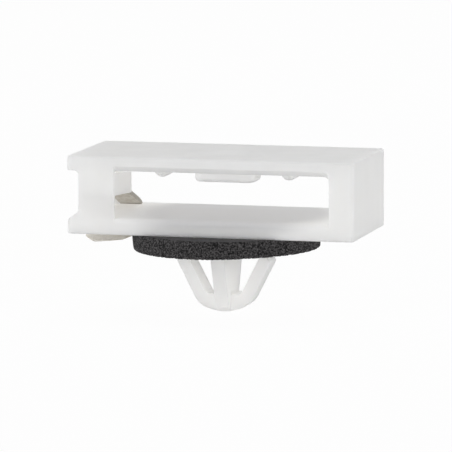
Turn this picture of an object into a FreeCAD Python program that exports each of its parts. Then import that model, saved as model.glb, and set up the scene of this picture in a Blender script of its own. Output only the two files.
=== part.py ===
import FreeCAD, Part
import math
import os

from FreeCAD import Vector

# A push-in retaining clip for a body-side moulding, in millimetres. +Z is up, X runs along the frame
# and its window is open along Y, with the front at -Y. Z = 0 is the panel face under the seal.

# Moulded frame
frame_length = 35.0
frame_depth = 16.0
frame_height = 9.3
floor_thickness = 2.0
roof_thickness = 1.7
frame_front_radius = 0.5
frame_rear_left_radius = 0.9
frame_rear_right_radius = 0.5
frame_rim_radius = 0.2
post_depth = 7.75
right_post_width = 3.0
right_web = 1.6
window_corner_radius = 0.8
window_lead_in = 0.6
floor_front_radius = 0.6
floor_rear_radius = 0.9

# Left end, where the two plates overhang the post
left_overhang = 1.45
left_post_width = 4.35
left_web = 0.65
roof_end_fillet = 0.55
foot_end_height = 1.6
foot_slope_rise = 1.1
foot_fillet = 0.4

# Space below and slit above the left post, which stand clear of the spring clip's tongue
undercut_skin = 0.5
undercut_front_height = 2.64
undercut_rear_height = 2.15
undercut_corner_radius = 0.35
slit_front_height = 0.28
slit_rear_height = 0.95
slit_depth = 1.6

# Gate dish in the roof
gate_dish_diameter = 9.6
gate_dish_floor_diameter = 5.8
gate_dish_depth = 0.35
gate_dish_offset = 0.65
gate_dish_setback = 0.3

# Pad on the ceiling with a half-round rib on each side, which bear on the moulding's rib
ceiling_setback = 1.4
pad_width = 7.4
pad_length = 4.2
pad_drop = 1.15
pad_corner_radius = 1.1
pad_edge_radius = 0.45
ribs_spacing = 15.5
rib_length = 4.0
rib_radius = 1.0
rib_drop = 0.76

# Ejector pin marks in the floor, in front of the pad
pin_mark_diameter = 0.6
pin_mark_depth = 0.16
pin_mark_spacing = 18.3
pin_mark_setback = 3.5

# Prong: a tapered centre blade with two spring arms that rise from its nose
prong_length = 7.5
prong_span = 11.7
nose_width = 6.1
nose_rise = 0.9
nose_corner_radius = 2.6
nose_tip_radius = 5.0
shoulder_drop = 1.35
shoulder_rise = 0.85
shoulder_radius = 0.4
arm_thickness = 1.5
arm_depth = 3.0
arm_edge_radius = 0.15
nose_web = 2.1
valley_radius = 0.4
blade_width = 1.65
blade_root_depth = 8.8
blade_tip_depth = 3.8
blade_straight = 0.8
blade_tip_rise = 0.1
blade_tip_radius = 1.3

# Foam seal, as wide as the spring clip leaves room for
seal_thickness = 2.2
seal_edge_chamfer = 0.2
seal_spring_gap = 0.3
seal_bore_clearance = 0.7

# Spring clip: a bent steel sheet pushed on the floor's rear edge at the left end
sheet_thickness = 0.5
sheet_bend_radius = 0.3
spring_end_gap = 0.1
spring_width = 5.8
tongue_width = 2.7
tongue_side_gap = 0.1
tongue_root_angle = 25.5
tongue_tip_angle = 20.0
tongue_bow_reach = 0.8
tongue_bow_radius = 12.0
tongue_tip_gap = 0.55
tongue_seat_gap = 0.05
tongue_shoulder_height = 0.85
lip_angle = 57.0
lip_root_reach = 6.7
lip_length = 2.05
lip_bend_radius = 1.0
lip_left_drop = 1.28
lip_left_run = 1.15
lip_left_end_drop = 1.94
lip_right_drop = 1.1
lip_right_run = 1.1
lip_right_end_drop = 1.56
lip_corner_radius = 0.2

# Its seat in the frame: a notch in the rear edge and a shallow recess in the floor
notch_depth = 1.0
notch_side_gap = 0.2
recess_depth = 0.22
recess_setback = 0.6
recess_slope = 0.15
recess_front_width = 4.17
recess_rear_width = 3.07

# Places that follow from the sizes above
left_end = -frame_length / 2
right_end = frame_length / 2
front = -frame_depth / 2
rear = frame_depth / 2
base_z = seal_thickness
floor_z = base_z + floor_thickness
top_z = base_z + frame_height
ceiling_z = top_z - roof_thickness
post_rear = front + post_depth
wall_left = left_end + left_overhang
window_left = wall_left + left_post_width
window_right = right_end - right_post_width
window_middle = (window_left + window_right) / 2
rear_left = wall_left + left_web
rear_right = right_end - right_web
foot_end_z = base_z + foot_end_height
foot_top_z = foot_end_z + foot_slope_rise
notch_y = rear - notch_depth
recess_y = post_rear + recess_setback
recess_z = floor_z - recess_depth
spring_left = left_end + spring_end_gap
spring_right = spring_left + spring_width
notch_right = spring_right + notch_side_gap
tongue_left = rear_left + tongue_side_gap
tongue_right = tongue_left + tongue_width
seal_radius = -spring_right - seal_spring_gap
past = 1.0

# The three drawing planes, each with the direction in which its outlines are drawn out
FRONT_VIEW = (lambda u, v: Vector(u, 0, v), Vector(0, 1, 0))
SIDE_VIEW = (lambda u, v: Vector(0, u, v), Vector(1, 0, 0))
PLAN_VIEW = (lambda u, v: Vector(u, v, 0), Vector(0, 0, 1))


def box(x0, x1, y0, y1, z0, z1):
    return Part.makeBox(x1 - x0, y1 - y0, z1 - z0, Vector(x0, y0, z0))


def rounded_wire(view, corners, closed=True):
    """Straight runs through corners (u, v, radius) in one plane, with a tangent arc at each corner."""
    place = view[0]
    points = [place(u, v) for u, v, radius in corners]
    radii = [radius for u, v, radius in corners]
    count = len(points)
    bends = []
    for i in range(count):
        open_end = not closed and i in (0, count - 1)
        if open_end or radii[i] == 0:
            bends.append((points[i], None, points[i]))
            continue
        to_last = (points[i - 1] - points[i]).normalize()
        to_next = (points[(i + 1) % count] - points[i]).normalize()
        half_angle = to_last.getAngle(to_next) / 2
        tangent = radii[i] / math.tan(half_angle)
        inward = radii[i] / math.sin(half_angle) - radii[i]
        middle = points[i] + (to_last + to_next).normalize() * inward
        bends.append((points[i] + to_last * tangent, middle, points[i] + to_next * tangent))
    edges = []
    for i, (start, middle, end) in enumerate(bends):
        if middle is not None:
            edges.append(Part.Arc(start, middle, end).toShape())
        if closed or i < count - 1:
            edges.append(Part.LineSegment(end, bends[(i + 1) % count][0]).toShape())
    return Part.Wire(edges)


def drawn_out(view, wire, start, end):
    """A closed outline drawn out along its view's direction, from start to end."""
    along = view[1]
    return Part.Face(wire).extrude(along * (end - start)).translate(along * start)


def prism(view, corners, start, end):
    return drawn_out(view, rounded_wire(view, corners), start, end)


def frame_block():
    """The frame before its window is opened: a rounded block, cut back at its left end."""
    block = prism(PLAN_VIEW, [
        (left_end, front, frame_front_radius),
        (right_end, front, frame_front_radius),
        (right_end, rear, frame_rear_right_radius),
        (left_end, rear, frame_rear_left_radius),
    ], base_z, top_z)
    rims = [edge for edge in block.Edges if edge.BoundBox.ZLength < frame_rim_radius]
    block = block.makeFillet(frame_rim_radius, rims)
    slope = foot_slope_rise / left_overhang
    cut_back = prism(FRONT_VIEW, [
        (left_end - past, foot_end_z - past * slope, 0),
        (wall_left, foot_top_z, foot_fillet),
        (wall_left, ceiling_z, roof_end_fillet),
        (left_end - past, ceiling_z, 0),
    ], front - past, rear + past)
    return block.cut(cut_back)


def window_wire(left, right, ceiling, y):
    wire = rounded_wire(FRONT_VIEW, [
        (left, floor_z, 0),
        (right, floor_z, 0),
        (right, ceiling, window_corner_radius),
        (left, ceiling, 0),
    ])
    return wire.translate(Vector(0, y, 0))


def window():
    """The opening: narrow between the two posts, wider behind them, flared at the roof's two rims."""
    narrow = window_wire(window_left, window_right, ceiling_z, 0)
    wide = window_wire(rear_left, rear_right, ceiling_z, 0)
    flared = ceiling_z + window_lead_in
    front_flare = Part.makeLoft([
        window_wire(window_left, window_right, flared, front),
        window_wire(window_left, window_right, ceiling_z, front + window_lead_in),
    ], True, True)
    rear_flare = Part.makeLoft([
        window_wire(rear_left, rear_right, ceiling_z, rear - window_lead_in),
        window_wire(rear_left, rear_right, flared, rear),
    ], True, True)
    return drawn_out(FRONT_VIEW, narrow, front - past, post_rear).fuse([
        drawn_out(FRONT_VIEW, wide, post_rear, rear + past),
        front_flare,
        rear_flare,
    ])


def post_reliefs():
    """The space below the left post, open to the rear, and the slit that frees it from the roof."""
    y0 = front + undercut_skin
    space = prism(SIDE_VIEW, [
        (y0, floor_z, 0),
        (post_rear, floor_z, 0),
        (post_rear, floor_z + undercut_rear_height, 0),
        (y0, floor_z + undercut_front_height, undercut_corner_radius),
    ], rear_left, window_left)
    slit = prism(SIDE_VIEW, [
        (front + window_lead_in, ceiling_z, 0),
        (front + window_lead_in, ceiling_z - slit_front_height, 0),
        (post_rear, ceiling_z - slit_rear_height, 0),
        (post_rear, ceiling_z, 0),
    ], window_left - slit_depth, window_left)
    return space.fuse(slit)


def floor_round_overs():
    """What comes off the floor's front and rear edges to round them."""
    cuts = []
    for x0, x1, edge, inward, radius in (
        (window_left, window_right, front, 1, floor_front_radius),
        (rear_left, rear_right, rear, -1, floor_rear_radius),
    ):
        axis_y = edge + inward * radius
        axis_z = floor_z - radius
        outside = edge - inward * past
        strip = box(x0, x1, min(axis_y, outside), max(axis_y, outside), axis_z, floor_z + past)
        kept = Part.makeCylinder(radius, x1 - x0, Vector(x0, axis_y, axis_z), Vector(1, 0, 0))
        cuts.append(strip.cut(kept))
    return cuts


def ceiling_features():
    """The pad with rounded lower edges, and a round-ended rib on each side of it."""
    y0 = front + ceiling_setback
    y1 = y0 + pad_length
    x0 = window_middle - pad_width / 2
    x1 = window_middle + pad_width / 2
    pad_z = ceiling_z - pad_drop
    pad = prism(PLAN_VIEW, [
        (x0, y0, pad_corner_radius),
        (x1, y0, pad_corner_radius),
        (x1, y1, pad_corner_radius),
        (x0, y1, pad_corner_radius),
    ], pad_z, ceiling_z)
    lower_edges = [edge for edge in pad.Edges if edge.BoundBox.ZMax < pad_z + pad_drop / 2]
    features = [pad.makeFillet(pad_edge_radius, lower_edges)]
    axis_z = ceiling_z - rib_drop + rib_radius
    straight = rib_length - 2 * rib_radius
    for side in (-1, 1):
        near = Vector(window_middle + side * ribs_spacing / 2, y0 + rib_radius, axis_z)
        far = near + Vector(0, straight, 0)
        features += [
            Part.makeCylinder(rib_radius, straight, near, Vector(0, 1, 0)),
            Part.makeSphere(rib_radius, near),
            Part.makeSphere(rib_radius, far),
        ]
    return features


def gate_dish():
    outer = gate_dish_diameter / 2
    inner = gate_dish_floor_diameter / 2
    centre = Vector(gate_dish_offset, front + gate_dish_setback + outer, top_z - gate_dish_depth)
    return Part.makeCone(inner, outer, gate_dish_depth, centre)


def pin_marks():
    marks = []
    for side in (-1, 1):
        base = Vector(side * pin_mark_spacing / 2, front + pin_mark_setback, floor_z - pin_mark_depth)
        marks.append(Part.makeCone(0, pin_mark_diameter / 2, pin_mark_depth, base))
    return marks


def spring_seat():
    """The notch in the rear edge that takes the spring clip's bend, and the recess for its tongue."""
    notch = box(left_end - past, notch_right, notch_y, rear + past, base_z - past, foot_top_z)
    recess_plan = prism(PLAN_VIEW, [
        (rear_left, recess_y, 0),
        (rear_left + recess_front_width, recess_y, 0),
        (rear_left + recess_rear_width, notch_y, 0),
        (rear_left, notch_y, 0),
    ], recess_z, floor_z)
    recess_side = prism(SIDE_VIEW, [
        (recess_y, floor_z, 0),
        (recess_y + recess_slope, recess_z, 0),
        (notch_y, recess_z, 0),
        (notch_y, floor_z, 0),
    ], left_end, right_end)
    return notch.fuse(recess_plan.common(recess_side))


def prong():
    """The centre blade, and two arms that run up from a blunt nose to the shoulders."""
    nose_z = -prong_length
    nose_x = nose_width / 2
    nose_slope = math.atan2(nose_rise, nose_x)
    apex_z = nose_z - nose_tip_radius * (1 / math.cos(nose_slope) - 1)
    corner_z = apex_z + nose_rise
    shoulder_x = prong_span / 2
    shoulder_z = -shoulder_drop
    lean = (shoulder_x - nose_x) / (shoulder_z - corner_z)
    level_thickness = arm_thickness * math.hypot(1, lean)

    def inner_x(z):
        return shoulder_x + (z - shoulder_z) * lean - level_thickness

    tip_z = shoulder_z + shoulder_rise
    arms = prism(FRONT_VIEW, [
        (shoulder_x, shoulder_z, shoulder_radius),
        (inner_x(tip_z), tip_z, 0),
        (-inner_x(tip_z), tip_z, 0),
        (-shoulder_x, shoulder_z, shoulder_radius),
        (-nose_x, corner_z, nose_corner_radius),
        (0, apex_z, nose_tip_radius),
        (nose_x, corner_z, nose_corner_radius),
    ], -arm_depth / 2, arm_depth / 2)
    outer_edges = [
        edge for edge in arms.Edges
        if edge.BoundBox.YLength < arm_edge_radius and edge.BoundBox.ZMin < shoulder_z
    ]
    arms = arms.makeFillet(arm_edge_radius, outer_edges)
    valley_z = nose_z + nose_web
    half_blade = blade_width / 2
    blade_tip_z = nose_z + blade_tip_rise
    for side in (-1, 1):
        gap = prism(FRONT_VIEW, [
            (side * half_blade, base_z, 0),
            (side * half_blade, valley_z, valley_radius),
            (side * inner_x(valley_z), valley_z, valley_radius),
            (side * inner_x(base_z), base_z, 0),
        ], -arm_depth, arm_depth)
        arms = arms.cut(gap)
    blade = prism(SIDE_VIEW, [
        (-blade_root_depth / 2, base_z, 0),
        (-blade_root_depth / 2, -blade_straight, 0),
        (-blade_tip_depth / 2, blade_tip_z, blade_tip_radius),
        (blade_tip_depth / 2, blade_tip_z, blade_tip_radius),
        (blade_root_depth / 2, -blade_straight, 0),
        (blade_root_depth / 2, base_z, 0),
    ], -half_blade, half_blade)
    return arms.fuse(blade)


def clip_body():
    """One moulding: the frame with its window, posts and spring seat, and the prong below it."""
    openings = [window(), post_reliefs(), spring_seat(), gate_dish()]
    frame = frame_block().cut(openings + floor_round_overs() + pin_marks())
    return frame.fuse([prong()] + ceiling_features()).removeSplitter()


def foam_seal():
    """A die-cut ring under the frame, wide enough inside to pass over the prong."""
    ring = Part.makeCylinder(seal_radius, seal_thickness)
    lower_rim = [edge for edge in ring.Edges if edge.BoundBox.ZMax < seal_thickness / 2]
    ring = ring.makeChamfer(seal_edge_chamfer, lower_rim)
    bore_radius = (prong_span + seal_bore_clearance) / 2
    return ring.cut(Part.makeCylinder(bore_radius, seal_thickness))


def spring_clip():
    """A flat blank bent to a U: lead-in lip, leaf under the floor, bend in the notch, raised tongue."""
    web_y = notch_y + sheet_bend_radius
    root_rise = math.tan(math.radians(tongue_root_angle))
    tip_rise = math.tan(math.radians(tongue_tip_angle))
    lip = math.radians(lip_angle)
    lip_root_y = notch_y - lip_root_reach
    tongue_tip_y = post_rear + tongue_tip_gap
    tongue_seat_z = recess_z + tongue_seat_gap
    tongue_root_z = tongue_seat_z - sheet_bend_radius * root_rise
    bow_y = notch_y - tongue_bow_reach
    bow_z = tongue_seat_z + tongue_bow_reach * root_rise
    tongue_tip_z = bow_z + (bow_y - tongue_tip_y) * tip_rise
    path = rounded_wire(SIDE_VIEW, [
        (lip_root_y - lip_length * math.cos(lip), base_z - lip_length * math.sin(lip), 0),
        (lip_root_y, base_z, lip_bend_radius),
        (web_y, base_z, sheet_bend_radius),
        (web_y, tongue_root_z, sheet_bend_radius),
        (bow_y, bow_z, tongue_bow_radius),
        (tongue_tip_y, tongue_tip_z, 0),
    ], closed=False)
    section = path.makeOffset2D(sheet_thickness, fill=True, openResult=True)
    sheet = section.extrude(Vector(spring_width, 0, 0)).translate(Vector(spring_left, 0, 0))
    shoulder_z = base_z + tongue_shoulder_height
    tongue_top_z = tongue_tip_z + past
    corner = lip_corner_radius
    outline = prism(FRONT_VIEW, [
        (spring_left, base_z - lip_left_drop, corner),
        (spring_left + lip_left_run, base_z - lip_left_end_drop, corner),
        (spring_right - lip_right_run, base_z - lip_right_end_drop, corner),
        (spring_right, base_z - lip_right_drop, corner),
        (spring_right, shoulder_z, corner),
        (tongue_right, shoulder_z, corner),
        (tongue_right, tongue_top_z, 0),
        (tongue_left, tongue_top_z, 0),
        (tongue_left, shoulder_z, corner),
        (spring_left, shoulder_z, corner),
    ], front, rear)
    return sheet.common(outline).removeSplitter()


pieces = {
    "clip_body": clip_body(),
    "foam_seal": foam_seal(),
    "spring_clip": spring_clip(),
}
os.makedirs("parts", exist_ok=True)
for name, shape in pieces.items():
    shape.exportStep(f"parts/{name}.step")
    print(name, "solids", len(shape.Solids), "valid", shape.isValid(), "volume", round(shape.Volume, 2))
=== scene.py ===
import math

import bpy
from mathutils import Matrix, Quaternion, Vector, noise


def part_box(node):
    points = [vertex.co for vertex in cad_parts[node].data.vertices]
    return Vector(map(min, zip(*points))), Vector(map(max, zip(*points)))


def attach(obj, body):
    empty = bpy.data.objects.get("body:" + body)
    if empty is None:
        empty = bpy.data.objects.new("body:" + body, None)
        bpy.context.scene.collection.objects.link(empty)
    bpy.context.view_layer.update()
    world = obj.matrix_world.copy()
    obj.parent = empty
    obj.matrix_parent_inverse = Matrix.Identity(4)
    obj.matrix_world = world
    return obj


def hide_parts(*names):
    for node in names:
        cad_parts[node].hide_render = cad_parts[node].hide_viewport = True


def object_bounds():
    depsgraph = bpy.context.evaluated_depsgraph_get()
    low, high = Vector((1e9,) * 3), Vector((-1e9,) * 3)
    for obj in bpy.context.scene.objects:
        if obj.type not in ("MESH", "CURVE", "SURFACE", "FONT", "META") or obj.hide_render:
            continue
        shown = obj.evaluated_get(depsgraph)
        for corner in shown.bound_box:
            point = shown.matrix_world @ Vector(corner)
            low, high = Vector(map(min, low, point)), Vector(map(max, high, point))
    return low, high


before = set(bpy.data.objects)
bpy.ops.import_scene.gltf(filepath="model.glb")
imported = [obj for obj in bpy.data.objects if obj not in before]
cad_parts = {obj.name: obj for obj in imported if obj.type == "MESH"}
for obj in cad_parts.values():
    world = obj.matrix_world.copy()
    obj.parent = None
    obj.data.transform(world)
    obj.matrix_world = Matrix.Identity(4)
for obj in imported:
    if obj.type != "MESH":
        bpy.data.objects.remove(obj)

cad_low, cad_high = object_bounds()

# Clip body: one injection moulding, a frame open from front to back over a split push-in prong.
# It is natural nylon 6.6, milky and a little translucent, and leaves the tool with satin faces
# and soft edges. Nothing is fixed to it but the foam ring and the spring clip.
clip_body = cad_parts["clip_body"]
MM = 0.001


def linear(code):
    """An sRGB hex colour as the linear RGBA that a socket takes."""
    shares = [int(code[i:i + 2], 16) / 255 for i in (1, 3, 5)]
    return [s / 12.92 if s <= 0.04045 else ((s + 0.055) / 1.055) ** 2.4 for s in shares] + [1.0]


def add_node(tree, kind, values=None, **settings):
    """Adds one node with its settings. A value is a number for a socket, or the socket that feeds it."""
    node = tree.nodes.new(kind)
    for name, setting in settings.items():
        setattr(node, name, setting)
    for socket, value in (values or {}).items():
        if isinstance(value, bpy.types.NodeSocket):
            tree.links.new(value, node.inputs[socket])
        else:
            node.inputs[socket].default_value = value
    return node


def finish_with(obj, material):
    """Gives a piece one material all over."""
    obj.data.materials.clear()
    obj.data.materials.append(material)
    for face in obj.data.polygons:
        face.material_index = 0


# Natural nylon 6.6, moulded: light sinks a few millimetres into it, so it looks milky and its edges
# soft. Faint clouds follow the melt's flow up the walls, and the tool's spark finish dulls the gloss.
cloud_size = 4.0 * MM
cloud_stretch = (1.0, 1.0, 0.2)
grain_size = 0.22 * MM
grain_height = 0.006 * MM
edge_softness = 0.08 * MM
scatter_depth = 3.4 * MM
nylon = bpy.data.materials.new("natural_nylon_66_moulded")
nylon.use_nodes = True
tree = nylon.node_tree
shader = tree.nodes["Principled BSDF"]
place = add_node(tree, "ShaderNodeTexCoord").outputs["Object"]
flow = add_node(tree, "ShaderNodeMapping", {"Vector": place, "Scale": cloud_stretch})
clouds = add_node(tree, "ShaderNodeTexNoise", {
    "Vector": flow.outputs["Vector"],
    "Scale": 1 / cloud_size,
    "Detail": 3.0,
})
tint = add_node(tree, "ShaderNodeMix", {
    "Factor": clouds.outputs["Fac"],
    "A": linear("#eaeae9"),
    "B": linear("#f4f4f3"),
}, data_type="RGBA")

# The black foam shows through the floor above it as a grey patch with a soft rim, and the patch is
# also painted shade: it sits a little to the right of the prong, where the right post shades the
# floor, and is greyest on the floor's top and the sill's upper part. The floor's lower edge over the
# foam is painted white, a painted highlight where light would gather in it.
grey_centre = (1.2 * MM, 0.0, 0.0)
grey_core = 9.5 * MM
grey_rim = 14.5 * MM
underside_margin = 0.05 * MM
white_edge = 0.25 * MM
grey_start = 0.65 * MM
grey_full = 1.4 * MM
floor_reach = 2.3 * MM
seal_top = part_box("foam_seal")[1].z - underside_margin
aside = add_node(tree, "ShaderNodeVectorMath", {0: place, 1: grey_centre}, operation="SUBTRACT")
across = add_node(tree, "ShaderNodeVectorMath", {
    0: aside.outputs["Vector"],
    1: (1.0, 1.0, 0.0),
}, operation="MULTIPLY")
from_centre = add_node(tree, "ShaderNodeVectorMath", {0: across.outputs["Vector"]}, operation="LENGTH")
over_ring = add_node(tree, "ShaderNodeMapRange", {
    "Value": from_centre.outputs["Value"],
    "From Min": grey_core,
    "From Max": grey_rim,
    "To Min": 1.0,
    "To Max": 0.0,
}, interpolation_type="SMOOTHSTEP")
height = add_node(tree, "ShaderNodeSeparateXYZ", {"Vector": place}).outputs["Z"]
above_edge = add_node(tree, "ShaderNodeMapRange", {
    "Value": height,
    "From Min": seal_top + grey_start,
    "From Max": seal_top + grey_full,
})
below_roof = add_node(tree, "ShaderNodeMath", {0: height, 1: seal_top + floor_reach}, operation="LESS_THAN")
in_floor = add_node(tree, "ShaderNodeMath", {
    0: above_edge.outputs["Result"],
    1: below_roof.outputs["Value"],
}, operation="MULTIPLY")
greyed = add_node(tree, "ShaderNodeMath", {
    0: over_ring.outputs["Result"],
    1: in_floor.outputs["Value"],
}, operation="MULTIPLY")
low_edge = add_node(tree, "ShaderNodeMapRange", {
    "Value": height,
    "From Min": seal_top + white_edge,
    "From Max": seal_top + grey_start,
    "To Min": 1.0,
    "To Max": 0.0,
})
above_foam = add_node(tree, "ShaderNodeMath", {0: height, 1: seal_top}, operation="GREATER_THAN")
edge_only = add_node(tree, "ShaderNodeMath", {
    0: low_edge.outputs["Result"],
    1: above_foam.outputs["Value"],
}, operation="MULTIPLY")
edge_over_ring = add_node(tree, "ShaderNodeMath", {
    0: edge_only.outputs["Value"],
    1: over_ring.outputs["Result"],
}, operation="MULTIPLY")
# Painted highlight: the floor's lower edge over the foam is turned white, as if light gathered in it.
painted_lit_edge = add_node(tree, "ShaderNodeMix", {
    "Factor": edge_over_ring.outputs["Value"],
    "A": tint.outputs["Result"],
    "B": linear("#ffffff"),
}, data_type="RGBA")
# Grey over the foam: partly the black foam seen through the floor, partly painted shade.
seen_through_and_shade = add_node(tree, "ShaderNodeMix", {
    "Factor": greyed.outputs["Value"],
    "A": painted_lit_edge.outputs["Result"],
    "B": linear("#cdcdce"),
}, data_type="RGBA")
grain = add_node(tree, "ShaderNodeTexNoise", {"Vector": place, "Scale": 1 / grain_size, "Detail": 2.0})
gloss = add_node(tree, "ShaderNodeMapRange", {
    "Value": grain.outputs["Fac"],
    "To Min": 0.46,
    "To Max": 0.6,
})
soft_edge = add_node(tree, "ShaderNodeBevel", {"Radius": edge_softness}, samples=6)
relief = add_node(tree, "ShaderNodeBump", {
    "Height": grain.outputs["Fac"],
    "Distance": grain_height,
    "Normal": soft_edge.outputs["Normal"],
})
tree.links.new(seen_through_and_shade.outputs["Result"], shader.inputs["Base Color"])
tree.links.new(gloss.outputs["Result"], shader.inputs["Roughness"])
tree.links.new(relief.outputs["Normal"], shader.inputs["Normal"])
shader.inputs["IOR"].default_value = 1.53
shader.inputs["Subsurface Weight"].default_value = 1.0
shader.inputs["Subsurface Radius"].default_value = (1.0, 0.98, 0.95)
shader.inputs["Subsurface Scale"].default_value = scatter_depth

# The thin milky walls let most of a lamp's light through, so the window's inside is nearly as light
# as the outside.
lamp_ray = add_node(tree, "ShaderNodeLightPath").outputs["Is Shadow Ray"]
wall_passes = add_node(tree, "ShaderNodeBsdfTransparent", {"Color": linear("#ecebea")})
milky = add_node(tree, "ShaderNodeMixShader", {
    0: lamp_ray,
    1: shader.outputs["BSDF"],
    2: wall_passes.outputs["BSDF"],
})
tree.links.new(milky.outputs["Shader"], tree.nodes["Material Output"].inputs["Surface"])
finish_with(clip_body, nylon)

# Foam seal: a ring die-cut from a black closed-cell sheet, stuck under the frame around the prong.
# The sheet's skin is smooth on top and below, and the cut sides show its open cells. It is squeezed
# thinner and lifts a little at its right, and sags and slants inwards at its left.
right_trim = 0.08 * MM
bore_radius = 6.2 * MM
edge_radius = 0.22 * MM
glue_line = 0.01 * MM
cell_size = 0.3 * MM
cell_depth = 0.09 * MM
cell_reach = 0.62
torn_share = 0.25
seal_squeeze = 0.28 * MM
seal_sag = 0.09 * MM
seal_peel = 0.08 * MM
peel_from = 0.6
seal_slant = 0.22 * MM
slant_spread = 4
steps_round = 600
flat_steps = 14
edge_steps = 5
side_steps = 13
bore_steps = 8
seal_low, seal_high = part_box("foam_seal")
seal_radius = (seal_high.y - seal_low.y) / 2 - right_trim / 2


def seal_section():
    """Points (radius, height, cut share) round the ring's section, from the bore's foot outwards."""
    foot = seal_low.z
    head = seal_high.z - glue_line
    flat = seal_radius - edge_radius
    section = []
    for i in range(flat_steps):
        section.append((bore_radius + (flat - bore_radius) * i / flat_steps, foot, 0.0))
    for i in range(edge_steps):
        turn = math.radians(90 * i / edge_steps)
        radius = flat + edge_radius * math.sin(turn)
        section.append((radius, foot + edge_radius - edge_radius * math.cos(turn), 1.0))
    for i in range(side_steps):
        rise = (head - foot - edge_radius) * i / side_steps
        section.append((seal_radius, foot + edge_radius + rise, 1.0))
    for i in range(flat_steps):
        radius = seal_radius + (bore_radius - seal_radius) * i / flat_steps
        section.append((radius, head, 1.0 if i == 0 else 0.0))
    for i in range(bore_steps):
        section.append((bore_radius, head + (foot - head) * i / bore_steps, 1.0))
    return section


def open_cell(point):
    """How deep a cut cell is at a point, from 0 on its wall to 1 in its middle."""
    nearest = noise.voronoi(point / cell_size)[0][0]
    return max(0.0, 1.0 - (nearest / cell_reach) ** 2)


section = seal_section()
points = []
cuts = []
for i in range(steps_round):
    turn = 2 * math.pi * i / steps_round
    outward = Vector((math.cos(turn), math.sin(turn), 0))
    to_right = max(0.0, outward.x)
    to_left = max(0.0, -outward.x)
    for radius, height, cut in section:
        share_up = (height - seal_low.z) / (seal_high.z - seal_low.z)
        share_out = radius / seal_radius
        squeeze = (seal_squeeze * to_right - seal_sag * to_left) * (1 - share_up)
        peel = seal_peel * max(0.0, outward.x * share_out - peel_from) / (1 - peel_from)
        slant = seal_slant * to_left ** slant_spread * (1 - share_up) ** 2 * share_out
        point = outward * (radius - slant) + Vector((-right_trim / 2, 0, height + squeeze - peel))
        inward = -1 if radius > (bore_radius + seal_radius) / 2 else 1
        torn = outward * inward + Vector((0, 0, max(0.0, 1 - share_up / torn_share)))
        points.append(point + torn * cut * cell_depth * open_cell(point))
        cuts.append(cut)
count = len(section)
faces = []
for i in range(steps_round):
    here = i * count
    beyond = (i + 1) % steps_round * count
    for j in range(count):
        k = (j + 1) % count
        faces.append((here + j, beyond + j, beyond + k, here + k))
seal_mesh = bpy.data.meshes.new("foam_ring")
seal_mesh.from_pydata(points, [], faces)
seal_mesh.shade_smooth()
cut_share = seal_mesh.attributes.new("cut_share", "FLOAT", "POINT")
cut_share.data.foreach_set("value", cuts)
foam_ring = bpy.data.objects.new("foam_ring", seal_mesh)
bpy.context.scene.collection.objects.link(foam_ring)

# Black closed-cell rubber foam, die-cut: matt, with dark pores, and paler specks that are painted
# glints where cell walls catch the light; on the skin the same specks are a faint mottle of its own.
# Real cells may be half as large, and are drawn this coarse so that they show.
pore_size = 0.24 * MM
pore_depth = 0.03 * MM
speck_size = 0.19 * MM
foam = bpy.data.materials.new("black_closed_cell_foam_die_cut")
foam.use_nodes = True
tree = foam.node_tree
shader = tree.nodes["Principled BSDF"]
place = add_node(tree, "ShaderNodeTexCoord").outputs["Object"]
cut = add_node(tree, "ShaderNodeAttribute", attribute_name="cut_share").outputs["Fac"]
pores = add_node(tree, "ShaderNodeTexVoronoi", {"Vector": place, "Scale": 1 / pore_size})
wall = add_node(tree, "ShaderNodeMapRange", {
    "Value": pores.outputs["Distance"],
    "From Min": 0.15,
    "From Max": 0.65,
})
speckle = add_node(tree, "ShaderNodeTexNoise", {"Vector": place, "Scale": 1 / speck_size, "Detail": 2.0})
# Painted glints on the cut sides, and a faint mottle of the skin's own tone on top and below.
glint_and_mottle = add_node(tree, "ShaderNodeMapRange", {
    "Value": speckle.outputs["Fac"],
    "From Min": 0.4,
    "From Max": 0.66,
})
cut_colour = add_node(tree, "ShaderNodeMix", {
    "Factor": glint_and_mottle.outputs["Result"],
    "A": linear("#0e0e0e"),
    "B": linear("#585657"),
}, data_type="RGBA")
skin_colour = add_node(tree, "ShaderNodeMix", {
    "Factor": glint_and_mottle.outputs["Result"],
    "A": linear("#383738"),
    "B": linear("#4c4b4c"),
}, data_type="RGBA")
whole = add_node(tree, "ShaderNodeMix", {
    "Factor": cut,
    "A": skin_colour.outputs["Result"],
    "B": cut_colour.outputs["Result"],
}, data_type="RGBA")
relief = add_node(tree, "ShaderNodeBump", {
    "Height": wall.outputs["Result"],
    "Distance": pore_depth,
    "Strength": 0.6,
})
tree.links.new(whole.outputs["Result"], shader.inputs["Base Color"])
tree.links.new(relief.outputs["Normal"], shader.inputs["Normal"])
shader.inputs["Roughness"].default_value = 0.85
shader.inputs["IOR"].default_value = 1.45
shader.inputs["Specular IOR Level"].default_value = 0.15

# The ring throws only a faint shadow on the prong, as it does under light from all round.
lamp_ray = add_node(tree, "ShaderNodeLightPath").outputs["Is Shadow Ray"]
thin_shadow = add_node(tree, "ShaderNodeBsdfTransparent", {"Color": linear("#e0e0e0")})
shaded = add_node(tree, "ShaderNodeMixShader", {
    0: lamp_ray,
    1: shader.outputs["BSDF"],
    2: thin_shadow.outputs["BSDF"],
})
tree.links.new(shaded.outputs["Shader"], tree.nodes["Material Output"].inputs["Surface"])
finish_with(foam_ring, foam)
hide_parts("foam_seal")
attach(foam_ring, "root")

# Spring clip: a strip of spring steel bent to a U and pushed on the frame's rear edge at the left.
# Its tongue rises in the window to hold the moulding's rib, and its lip shows under the frame.
spring_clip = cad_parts["spring_clip"]
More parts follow.
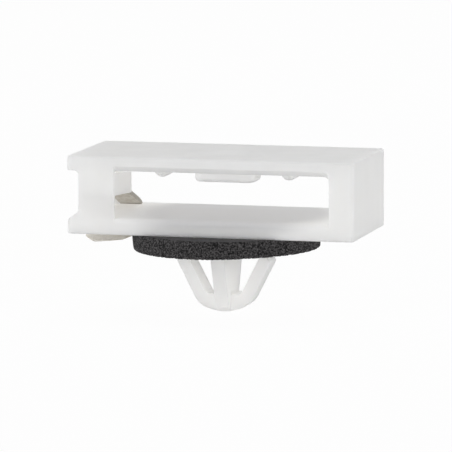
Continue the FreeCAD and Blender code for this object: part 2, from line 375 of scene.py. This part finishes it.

# Spring steel, rolled and tempered: dull and warm grey, with faint rolling lines along the strip,
# pale brown stains of old oil, and darker grey on the faces turned to the sides, which is partly the
# sheared edges' own grey and partly painted shade that tones down the side lamp's glint on them.
rolling_line = 0.08 * MM
rolling_stretch = (1.0, 0.06, 0.06)
line_height = 0.004 * MM
stain_size = 0.7 * MM
sheared_softness = 0.06 * MM
steel = bpy.data.materials.new("spring_steel_rolled_tempered")
steel.use_nodes = True
tree = steel.node_tree
shader = tree.nodes["Principled BSDF"]
place = add_node(tree, "ShaderNodeTexCoord").outputs["Object"]
drawn = add_node(tree, "ShaderNodeMapping", {"Vector": place, "Scale": rolling_stretch})
lines = add_node(tree, "ShaderNodeTexNoise", {
    "Vector": drawn.outputs["Vector"],
    "Scale": 1 / rolling_line,
    "Detail": 2.0,
})
stains = add_node(tree, "ShaderNodeTexNoise", {"Vector": place, "Scale": 1 / stain_size, "Detail": 4.0})
stain = add_node(tree, "ShaderNodeMapRange", {
    "Value": stains.outputs["Fac"],
    "From Min": 0.46,
    "From Max": 0.7,
    "To Max": 0.5,
})
sheen = add_node(tree, "ShaderNodeMix", {
    "Factor": lines.outputs["Fac"],
    "A": linear("#c9c6bf"),
    "B": linear("#d9d6d0"),
}, data_type="RGBA")
stained = add_node(tree, "ShaderNodeMix", {
    "Factor": stain.outputs["Result"],
    "A": sheen.outputs["Result"],
    "B": linear("#a0937f"),
}, data_type="RGBA")
facing = add_node(tree, "ShaderNodeTexCoord").outputs["Normal"]
sideways = add_node(tree, "ShaderNodeSeparateXYZ", {"Vector": facing}).outputs["X"]
squared = add_node(tree, "ShaderNodeMath", {0: sideways, 1: sideways}, operation="MULTIPLY")
# Faces turned along X, the sheared edges, are painted darker: partly their own grey, partly painted shade
# over the side lamp's glint.
sheared_and_shaded = add_node(tree, "ShaderNodeMix", {
    "Factor": squared.outputs["Value"],
    "A": stained.outputs["Result"],
    "B": linear("#99948a"),
}, data_type="RGBA")
gloss = add_node(tree, "ShaderNodeMapRange", {
    "Value": lines.outputs["Fac"],
    "To Min": 0.42,
    "To Max": 0.58,
})
soft_edge = add_node(tree, "ShaderNodeBevel", {"Radius": sheared_softness}, samples=6)
relief = add_node(tree, "ShaderNodeBump", {
    "Height": lines.outputs["Fac"],
    "Distance": line_height,
    "Normal": soft_edge.outputs["Normal"],
})
tree.links.new(sheared_and_shaded.outputs["Result"], shader.inputs["Base Color"])
tree.links.new(gloss.outputs["Result"], shader.inputs["Roughness"])
tree.links.new(relief.outputs["Normal"], shader.inputs["Normal"])
shader.inputs["Metallic"].default_value = 1.0

# The strip throws almost no shadow into the milky corner that it sits in.
lamp_ray = add_node(tree, "ShaderNodeLightPath").outputs["Is Shadow Ray"]
pale_shadow = add_node(tree, "ShaderNodeBsdfTransparent", {"Color": linear("#fcfcfc")})
seated = add_node(tree, "ShaderNodeMixShader", {
    0: lamp_ray,
    1: shader.outputs["BSDF"],
    2: pale_shadow.outputs["BSDF"],
})
tree.links.new(seated.outputs["Shader"], tree.nodes["Material Output"].inputs["Surface"])
finish_with(spring_clip, steel)

# Studio: a white paper sweep at the height of the prong's nose, which the part stands on. Low strip
# lamps light it from the front, left and right, and a large soft lamp from above and behind.
floor_half = 1.5
white_share = 0.965
ambient = 0.1
lamp_distance = 0.7
corners = [
    (-floor_half, -floor_half),
    (floor_half, -floor_half),
    (floor_half, floor_half),
    (-floor_half, floor_half),
]
floor_mesh = bpy.data.meshes.new("studio_floor")
floor_mesh.from_pydata([(x, y, cad_low.z) for x, y in corners], [], [(0, 1, 2, 3)])
floor = bpy.data.objects.new("studio_floor", floor_mesh)
bpy.context.scene.collection.objects.link(floor)


def seen_ray(tree):
    """1 for the rays that show a background: from the camera, by reflection or through something clear."""
    path = add_node(tree, "ShaderNodeLightPath")
    mirrored = add_node(tree, "ShaderNodeMath", {
        0: path.outputs["Is Camera Ray"],
        1: path.outputs["Is Glossy Ray"],
    }, operation="MAXIMUM")
    return add_node(tree, "ShaderNodeMath", {
        0: mirrored.outputs["Value"],
        1: path.outputs["Is Transmission Ray"],
    }, operation="MAXIMUM").outputs["Value"]


# White paper, uncoated: matt, and lifted to the white of the backdrop, with a trace of the part's
# shadow left on it.
paper = bpy.data.materials.new("white_paper_sweep")
paper.use_nodes = True
tree = paper.node_tree
tree.nodes.remove(tree.nodes["Principled BSDF"])
matt = add_node(tree, "ShaderNodeBsdfDiffuse", {"Color": linear("#fafafa")})
white = add_node(tree, "ShaderNodeEmission", {"Color": linear("#ffffff"), "Strength": 1.0})
lifted = add_node(tree, "ShaderNodeMath", {0: seen_ray(tree), 1: white_share}, operation="MULTIPLY")
sweep = add_node(tree, "ShaderNodeMixShader", {
    0: lifted.outputs["Value"],
    1: matt.outputs["BSDF"],
    2: white.outputs["Emission"],
})
tree.links.new(sweep.outputs["Shader"], tree.nodes["Material Output"].inputs["Surface"])
finish_with(floor, paper)

world = bpy.data.worlds.new("soft_studio")
world.use_nodes = True
bpy.context.scene.world = world
tree = world.node_tree
around = tree.nodes["Background"]
around.inputs["Color"].default_value = linear("#ffffff")
around.inputs["Strength"].default_value = ambient
backdrop = add_node(tree, "ShaderNodeBackground", {"Color": linear("#ffffff"), "Strength": 1.0})
sky = add_node(tree, "ShaderNodeMixShader", {
    0: seen_ray(tree),
    1: around.outputs["Background"],
    2: backdrop.outputs["Background"],
})
tree.links.new(sky.outputs["Shader"], tree.nodes["World Output"].inputs["Surface"])


def direction(azimuth, elevation):
    """The way from the part towards an azimuth, counted from the front, and an elevation in degrees."""
    a = math.radians(azimuth)
    e = math.radians(elevation)
    return Vector((math.sin(a) * math.cos(e), -math.cos(a) * math.cos(e), math.sin(e)))


def lamp(name, azimuth, elevation, power, width, height):
    """A soft lamp aimed at the part, with its power in watts and its sides in metres."""
    data = bpy.data.lights.new(name, "AREA")
    data.energy = power
    data.shape = "RECTANGLE"
    data.size = width
    data.size_y = height
    obj = bpy.data.objects.new(name, data)
    bpy.context.scene.collection.objects.link(obj)
    away = direction(azimuth, elevation)
    obj.location = away * lamp_distance
    obj.rotation_mode = "QUATERNION"
    obj.rotation_quaternion = (-away).to_track_quat("-Z", "Y")


lamp("front_strip", -14, 6, 1.75, 0.5, 0.1)
lamp("right_strip", 84, 11, 2.0, 0.4, 0.12)
lamp("left_strip", -66, 18, 1.6, 0.4, 0.12)
lamp("top_lamp", 175, 64, 2.0, 0.5, 0.4)

# Camera: a long lens from the front, a little to the right and above, as the picture was taken.
camera_azimuth = 14.87
camera_elevation = 7.69
camera_roll = -0.2
camera_distance = 597.0 * MM
camera_target = Vector((-0.07, 0, 2.6)) * MM
camera_data = bpy.data.cameras.new("camera")
camera_data.sensor_width = 36.0
camera_data.lens = 398.2
camera = bpy.data.objects.new("camera", camera_data)
bpy.context.scene.collection.objects.link(camera)
back = direction(camera_azimuth, camera_elevation)
roll = Quaternion((0, 0, 1), math.radians(camera_roll))
camera.location = camera_target + back * camera_distance
camera.rotation_mode = "QUATERNION"
camera.rotation_quaternion = (-back).to_track_quat("-Z", "Y") @ roll
bpy.context.scene.camera = camera
bpy.context.scene.view_settings.view_transform = "Standard"
